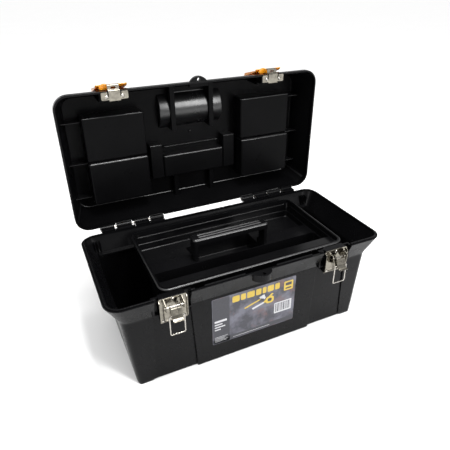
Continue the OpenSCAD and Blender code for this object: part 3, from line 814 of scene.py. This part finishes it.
def cover_piece(side, side_name):
    low, high = COVER_X
    top = COVER_TOP
    near, far = low + COVER_GAP, high - COVER_GAP
    tab = ((-199, top + 0.1), (-199, top + 2.6), (-232, top + 2.6), (-236, top + 1.4),
           (-246.5, 23), (-250, 18.5), (-249, 17), (-244.4, 22), (-229.5, top + 0.1))
    border = cut_away(slab((low + 4, -197, top + 2), (high - 4, -44, top + 3.5), 4, 0.4),
                      slab((low + 6.5, -194.5, 0), (high - 6.5, -46.5, 200), 2.5))
    adds = [border, prism(tab, LATCH_X - 26, LATCH_X + 26, "x", 0.45),
            lid_brick((low + 8, high - 8), (116, 119), (top + 1, top + 3.4), 0.5, 2),
            lid_brick((near, far), (35, 44), (63.2, 65.3), 0.4, 2),
            rod((near, *COVER_PIN), (far, *COVER_PIN), 2.8, 28, 0.4)]
    for x in (-18, -9, 0, 9, 18):
        adds.append(lid_brick((LATCH_X + x - 1, LATCH_X + x + 1), (203, 228), (top + 1, top + 3.2), 0.4, 2))
    # the finger lobe is to the left of both catches
    lobe_x = LATCH_X - 12 * side
    lobe = arc_points((lobe_x, -243.8), (9, 7.6), 180, 180, 20)
    web = ((-242.6, 14.8), (-246.5, 23), (-249, 18.4), (-248, 14.8))
    adds += [prism(lobe, 14.6, 19.4, "z", 0.8, 3), prism(web, lobe_x - 8, lobe_x + 8, "x", 0.3)]
    base = slab((low, -COVER_S[1], top), (high, -COVER_S[0], top + 2.6), 6, 0.7)
    cuts = [rod((low, *COVER_PIN), (high, *COVER_PIN), 1.25, 20)]
    piece = moulding(f"amber_cover_{side_name}", base, adds, cuts)
    finish_mesh(piece, matrix=ON_LID if side > 0 else ON_LID @ FLIP)
    return place(piece, f"cover_{side_name}", "amber_cover", f"organizer_cover_{side_name}", material=AMBER)


# ---- latches ----

def ribbon(path, thick, low, high, r=0.25):
    """Sheet metal bent along a path of (y, z) and as wide as low to high in x."""
    points = [Vector(p) for p in path]
    one, other = [], []
    for k, point in enumerate(points):
        along = (points[min(k + 1, len(points) - 1)] - points[max(k - 1, 0)]).normalized()
        across = Vector((-along.y, along.x)) * thick / 2
        one.append(point + across)
        other.append(point - across)
    return prism([tuple(p) for p in one + other[::-1]], low, high, "x", r, 2)


def latch_plate_piece(side, side_name):
    edge, ear_y = PLATE_Y - SHEET, LEVER_PIN[0] - 3.5
    corners = outline((LATCH_X - PLATE_HALF, PLATE_Z[0]), (LATCH_X + PLATE_HALF, PLATE_Z[1]), 2.5, 5)
    plate = prism(corners, edge, PLATE_Y, "y", 0.3)
    ear = ((edge + 0.5, 146), (ear_y + 2, 151), (ear_y + 0.3, 153), (ear_y, 155), (ear_y, 159),
           (ear_y + 0.3, 161), (ear_y + 2, 163), (edge + 0.5, 167))
    flange = ((edge + 0.5, 126), (edge - 3.2, 128.4), (edge - 4, 130), (edge - 4, 162),
              (edge - 3.2, 163.6), (edge + 0.5, 166))
    adds = []
    for shape, half in ((ear, 14.5), (flange, PLATE_HALF)):
        adds += [prism(shape, x, x + SHEET, "x", 0.25) for x in (LATCH_X - half, LATCH_X + half - SHEET)]
    for x in (-6, 0, 6):
        adds.append(rod((LATCH_X + x, edge + 0.6, 133), (LATCH_X + x, edge + 0.6, 141), 1.5, 16, 1.2))
    adds.append(rod((LATCH_X - 17, edge + 0.3, 126.6), (LATCH_X + 17, edge + 0.3, 126.6), 1.2, 16, 0.9))
    cuts = [rod((LATCH_X - 20, *LEVER_PIN), (LATCH_X + 19.9, *LEVER_PIN), 1.42, 24)]
    cuts += [rod((LATCH_X + x, -130, z), (LATCH_X + x, -90, z), RIVET_HOLE_R, 24) for x, z in RIVETS]
    piece = moulding(f"latch_base_{side_name}", plate, adds, cuts)
    finish_mesh(piece, matrix=None if side > 0 else FLIP)
    return place(piece, "box", "plated_steel", f"latch_plate_{side_name}", material=PLATE)


def latch_lever_piece(side, side_name):
    """Drawn about its pin, flat against the plate, and then turned to its rest angle."""
    half, tip, back = LEVER_HALF, 17.0, -4.0
    front = back + SHEET / 2
    cheek = ((back + 0.2, 2), (-2.5, 3.5), (2, 3.5), (3.2, 2.8), (3.5, 1.5),
             (2.5, -tip + 1), (1, -tip - 1), (back + 0.2, -tip))
    curl = soft_path(((front, -2.6, 0), (front, -tip - 0.5, 5), (back - 4.4, -tip - 4.6, 3),
                      (back - 6.2, -tip - 3.6, 0)), 6)
    adds = [prism(cheek, x, x + SHEET, "x", 0.25) for x in (LATCH_X - half - SHEET, LATCH_X + half)]
    root = (front - 0.2, -2.6)
    adds.append(rod((LATCH_X - half - 0.5, *root), (LATCH_X + half + 0.5, *root), 0.9, 16, 0.3))
    adds.append(rod((LATCH_X, front, -5.5), (LATCH_X, front, -12), 1.3, 16, 1.0))
    base = ribbon([tuple(p) for p in curl], SHEET, LATCH_X - half - 0.4, LATCH_X + half + 0.4)
    cuts = [rod((LATCH_X - 20, 0, 0), (LATCH_X + 20, 0, 0), 1.45, 24)]
    link = (-LINK_OUT, -LINK_DOWN)
    cuts += [rod((LATCH_X + low, *link), (LATCH_X + low + 15, *link), 1.15, 20) for low in (-20, 5)]
    piece = moulding(f"latch_tongue_{side_name}", base, adds, cuts)
    turned = Matrix.Translation((0, *LEVER_PIN)) @ Matrix.Rotation(math.radians(-20), 4, "X")
    finish_mesh(piece, matrix=turned if side > 0 else FLIP @ turned)
    return place(piece, f"lever_{side_name}", "plated_steel", f"latch_lever_{side_name}", material=PLATE)


def latch_bail_piece(side_name):
    """A wire loop that hangs from its pivot, with its ends through the lever's cheeks."""
    half, long, bend, end, wire = 11.6, 34.85, 2.6, 5.6, 1.1
    path = soft_path(((-end, 0, 0, 0), (-half, 0, 0, bend), (-half, 0, -long, bend), (half, 0, -long, bend),
                      (half, 0, 0, bend), (end, 0, 0, 0)), 8)
    spot = pivot(f"bail_{side_name}_pivot")
    piece = to_object(f"latch_loop_{side_name}", tube(path, wire, 16))
    finish_mesh(piece, matrix=Matrix.Translation(spot))
    return place(piece, f"bail_{side_name}", "bright_steel", f"latch_bail_{side_name}", material=WIRE)


def lid_catch_piece(side, side_name):
    y = -242.95
    front = y - SHEET / 2
    lip = front - 7.25
    hook = soft_path(((y + 16, -0.62, 0), (front, -0.62, 1.2), (front, 5.4, 1.2), (lip, 5.4, 0.8),
                      (lip, 10.9, 0)), 4)
    base = ribbon([tuple(p) for p in hook], SHEET, LATCH_X - 9.5, LATCH_X + 9.5)
    adds = []
    for low, high in ((-22, -7), (7, 22)):
        corners = outline((LATCH_X + low, y + 1.2), (LATCH_X + high, y + 14), 2, 5)
        adds.append(prism(corners, -SHEET, -0.02, "z", 0.25))
    adds.append(rod((LATCH_X, front - 0.1, 1.6), (LATCH_X, front - 0.1, 4.0), 0.9, 12, 0.5))
    cuts = []
    for x in (LATCH_X - CATCH_RIVET_X, LATCH_X + CATCH_RIVET_X):
        cuts.append(rod((x, -CATCH_RIVET_S, -5), (x, -CATCH_RIVET_S, 7), RIVET_HOLE_R, 24))
    for x in (LATCH_X - 10.4, LATCH_X + 10.4):
        cuts.append(brick((x - 1.1, y + 0.7, -3), (x + 1.1, y + 9.5, 3)))
    cuts.append(brick((LATCH_X - 4, y - 5.5, 3.5), (LATCH_X + 4, y - 2.2, 7), 0.8))
    piece = moulding(f"catch_hook_{side_name}", base, adds, cuts)
    finish_mesh(piece, matrix=ON_LID if side > 0 else ON_LID @ FLIP)
    return place(piece, "lid", "plated_steel", f"lid_catch_{side_name}", material=PLATE)


# ---- label ----

def label_piece():
    """A film label with a generic layout: a title of bars, a badge, tools, lines of print, a bar code."""
    inks = (FILM, DARK, YELLOW, WHITE)
    film, dark, yellow, white = range(4)
    face, back = -PANEL_Y - 0.45, -PANEL_Y - 0.05
    marks = []

    def mark(points, ink, lift=0.02):
        marks.append((prism(points, face - lift, face + 0.03, "y"), ink))

    def bar(x, z, wide, high, ink, r=0.6, lift=0.02):
        mark(outline((x, z), (x + wide, z + high), min(r, wide / 2.1, high / 2.1), 3), ink, lift)

    ground = prism(outline((-82, 36), (74, 132), 2.5, 5), face, back, "y")
    marks.append((ground, film))
    bar(-81, 37, 30, 94, dark, 2, 0.01)
    bar(-81, 37, 154, 9, dark, 2, 0.01)
    x = -46.0
    for wide in (13, 9, 14, 10, 7, 12, 9):
        bar(x, 114.5, wide, 12.5, yellow, 2.2)
        x += wide + 2.4
    bar(51, 106, 18, 19, yellow, 2)
    bar(54, 116, 12, 6, dark, 1, 0.03)
    bar(54, 109, 12, 3, dark, 1, 0.03)
    # a hammer, a tape case and a knife
    mark(((-24, 96), (8, 106), (9, 103.4), (-23, 93.4)), yellow)
    mark(((4, 109), (13, 112), (16, 104), (13.6, 101), (11, 104.4), (6, 102.6)), white)
    mark(outline((16, 90), (32, 104), 5, 4), yellow, 0.025)
    bar(20, 93.5, 8, 7, dark, 3, 0.035)
    mark(((-10, 90), (12, 96), (13.4, 93), (-8, 86.4)), white)
    mark(((12, 96), (28, 110), (31, 108), (14, 92.6)), yellow, 0.03)
    bar(34, 62, 34, 23, white, 1)
    x = 36.0
    for wide in (1.4, 0.7, 2.0, 0.8, 0.8, 1.5, 0.7, 2.1, 0.7, 1.2, 0.9, 1.8, 0.7):
        bar(x, 65, wide, 18, dark, 0.05, 0.03)
        x += wide + 1.15
    for row, wide in enumerate((22, 14, 19, 11)):
        bar(-78, 82 - row * 5.4, wide, 2.4 if row else 4.2, white, 0.8)
    for row in range(5):
        bar(-78, 50 - row * 2.4, 24 - 3 * (row % 3), 0.7, white, 0.2)
    bar(-44, 40, 70, 0.8, white, 0.2)
    bm = bmesh.new()
    data = bpy.data.meshes.new("label_part")
    for solid, ink in marks:
        for f in solid.faces:
            f.material_index = ink
        solid.to_mesh(data)
        solid.free()
        bm.from_mesh(data)
    bpy.data.meshes.remove(data)
    piece = to_object("printed_label", bm)
    for ink in inks:
        piece.data.materials.append(ink)
    for v in piece.data.vertices:
        v.co *= MM
    return place(piece, "box", "label_film", "front_label")


# ---- camera, floor and light ----

SKY_STRENGTH = 0.66
SUN_ENERGY = 1.3
SUN_SPREAD = math.radians(70)
# name, place, what it faces, size and power
SOFT_BOXES = (("key_light", (0.85, -1.85, 1.25), (0, 0.1, 0.25), (0.4, 1.2), 34),
              ("top_light", (0.1, -0.35, 1.8), (0.1, -0.3, 0.15), (0.3, 1.2), 28),
              ("left_light", (-1.7, -0.9, 1.5), (0, 0, 0.1), (0.5, 0.5), 7))


def make_camera():
    """The photograph's view: from the front left, looking down about 30 degrees."""
    turn, down, roll = 0.430, 0.522, -0.009
    spot = Vector((-0.285, -0.59526, 0.576))
    ahead = Vector((math.sin(turn) * math.cos(down), math.cos(turn) * math.cos(down), -math.sin(down)))
    right = Vector((math.cos(turn), -math.sin(turn), 0.0))
    up = right.cross(ahead)
    x = right * math.cos(roll) + up * math.sin(roll)
    y = up * math.cos(roll) - right * math.sin(roll)
    turned = Matrix((x, y, -ahead)).transposed().to_4x4()
    data = bpy.data.cameras.new("camera")
    data.sensor_width = 36.0
    data.lens = 35.05
    data.clip_start = 0.01
    camera = bpy.data.objects.new("camera", data)
    camera.matrix_world = Matrix.Translation(spot) @ turned
    bpy.context.scene.collection.objects.link(camera)
    bpy.context.scene.camera = camera


def area_light(name, spot, aim, size, power):
    """A soft box at a spot, turned towards its aim."""
    data = bpy.data.lights.new(name, "AREA")
    data.shape = "RECTANGLE"
    data.size, data.size_y = size
    data.energy = power
    lamp = bpy.data.objects.new(name, data)
    lamp.location = spot
    lamp.rotation_euler = (Vector(aim) - Vector(spot)).to_track_quat("-Z", "Y").to_euler()
    bpy.context.scene.collection.objects.link(lamp)


def make_studio():
    """A white sheet under a pale sky, one soft sun, and three soft boxes."""
    scene = bpy.context.scene
    scene.view_settings.view_transform = "Standard"
    world = bpy.data.worlds.new("studio")
    world.use_nodes = True
    sky = world.node_tree.nodes["Background"]
    sky.inputs["Color"].default_value = (1.0, 1.0, 1.0, 1.0)
    sky.inputs["Strength"].default_value = SKY_STRENGTH
    scene.world = world
    sun = bpy.data.lights.new("overhead_light", "SUN")
    sun.energy = SUN_ENERGY
    sun.angle = SUN_SPREAD
    lamp = bpy.data.objects.new("overhead_light", sun)
    scene.collection.objects.link(lamp)
    for soft_box in SOFT_BOXES:
        area_light(*soft_box)
    bpy.ops.mesh.primitive_plane_add(size=30)
    floor = bpy.context.object
    floor.name = "floor"
    material, tree, shader, spot = new_material("floor_paper")
    tone = spread(tree, noise(tree, spot, 3, 2), 0, 1)
    tree.links.new(between(tree, tone, (0.93, 0.93, 0.93), (0.92, 0.92, 0.92)), shader.inputs["Base Color"])
    shader.inputs["Roughness"].default_value = 0.9
    floor.data.materials.append(material)


# what each material slot of the record looks like
SLOT_LOOKS = {"shell_plastic": SHELL, "tray_plastic": TRAY, "handle_plastic": GRIP, "amber_cover": AMBER,
              "label_film": FILM, "plated_steel": PLATE, "bright_steel": WIRE}

for part in frame["record"]["subparts"]:
    node = frame["nodes"][part["node"]]
    node.data.materials.clear()
    node.data.materials.append(SLOT_LOOKS[part["material_slot"]])

box_piece()
lid_piece()
tray_piece()
handle_piece()
label_piece()
for hand, hand_name in ((-1, "left"), (1, "right")):
    cover_piece(hand, hand_name)
    latch_plate_piece(hand, hand_name)
    latch_lever_piece(hand, hand_name)
    latch_bail_piece(hand_name)
    lid_catch_piece(hand, hand_name)
make_camera()
make_studio()
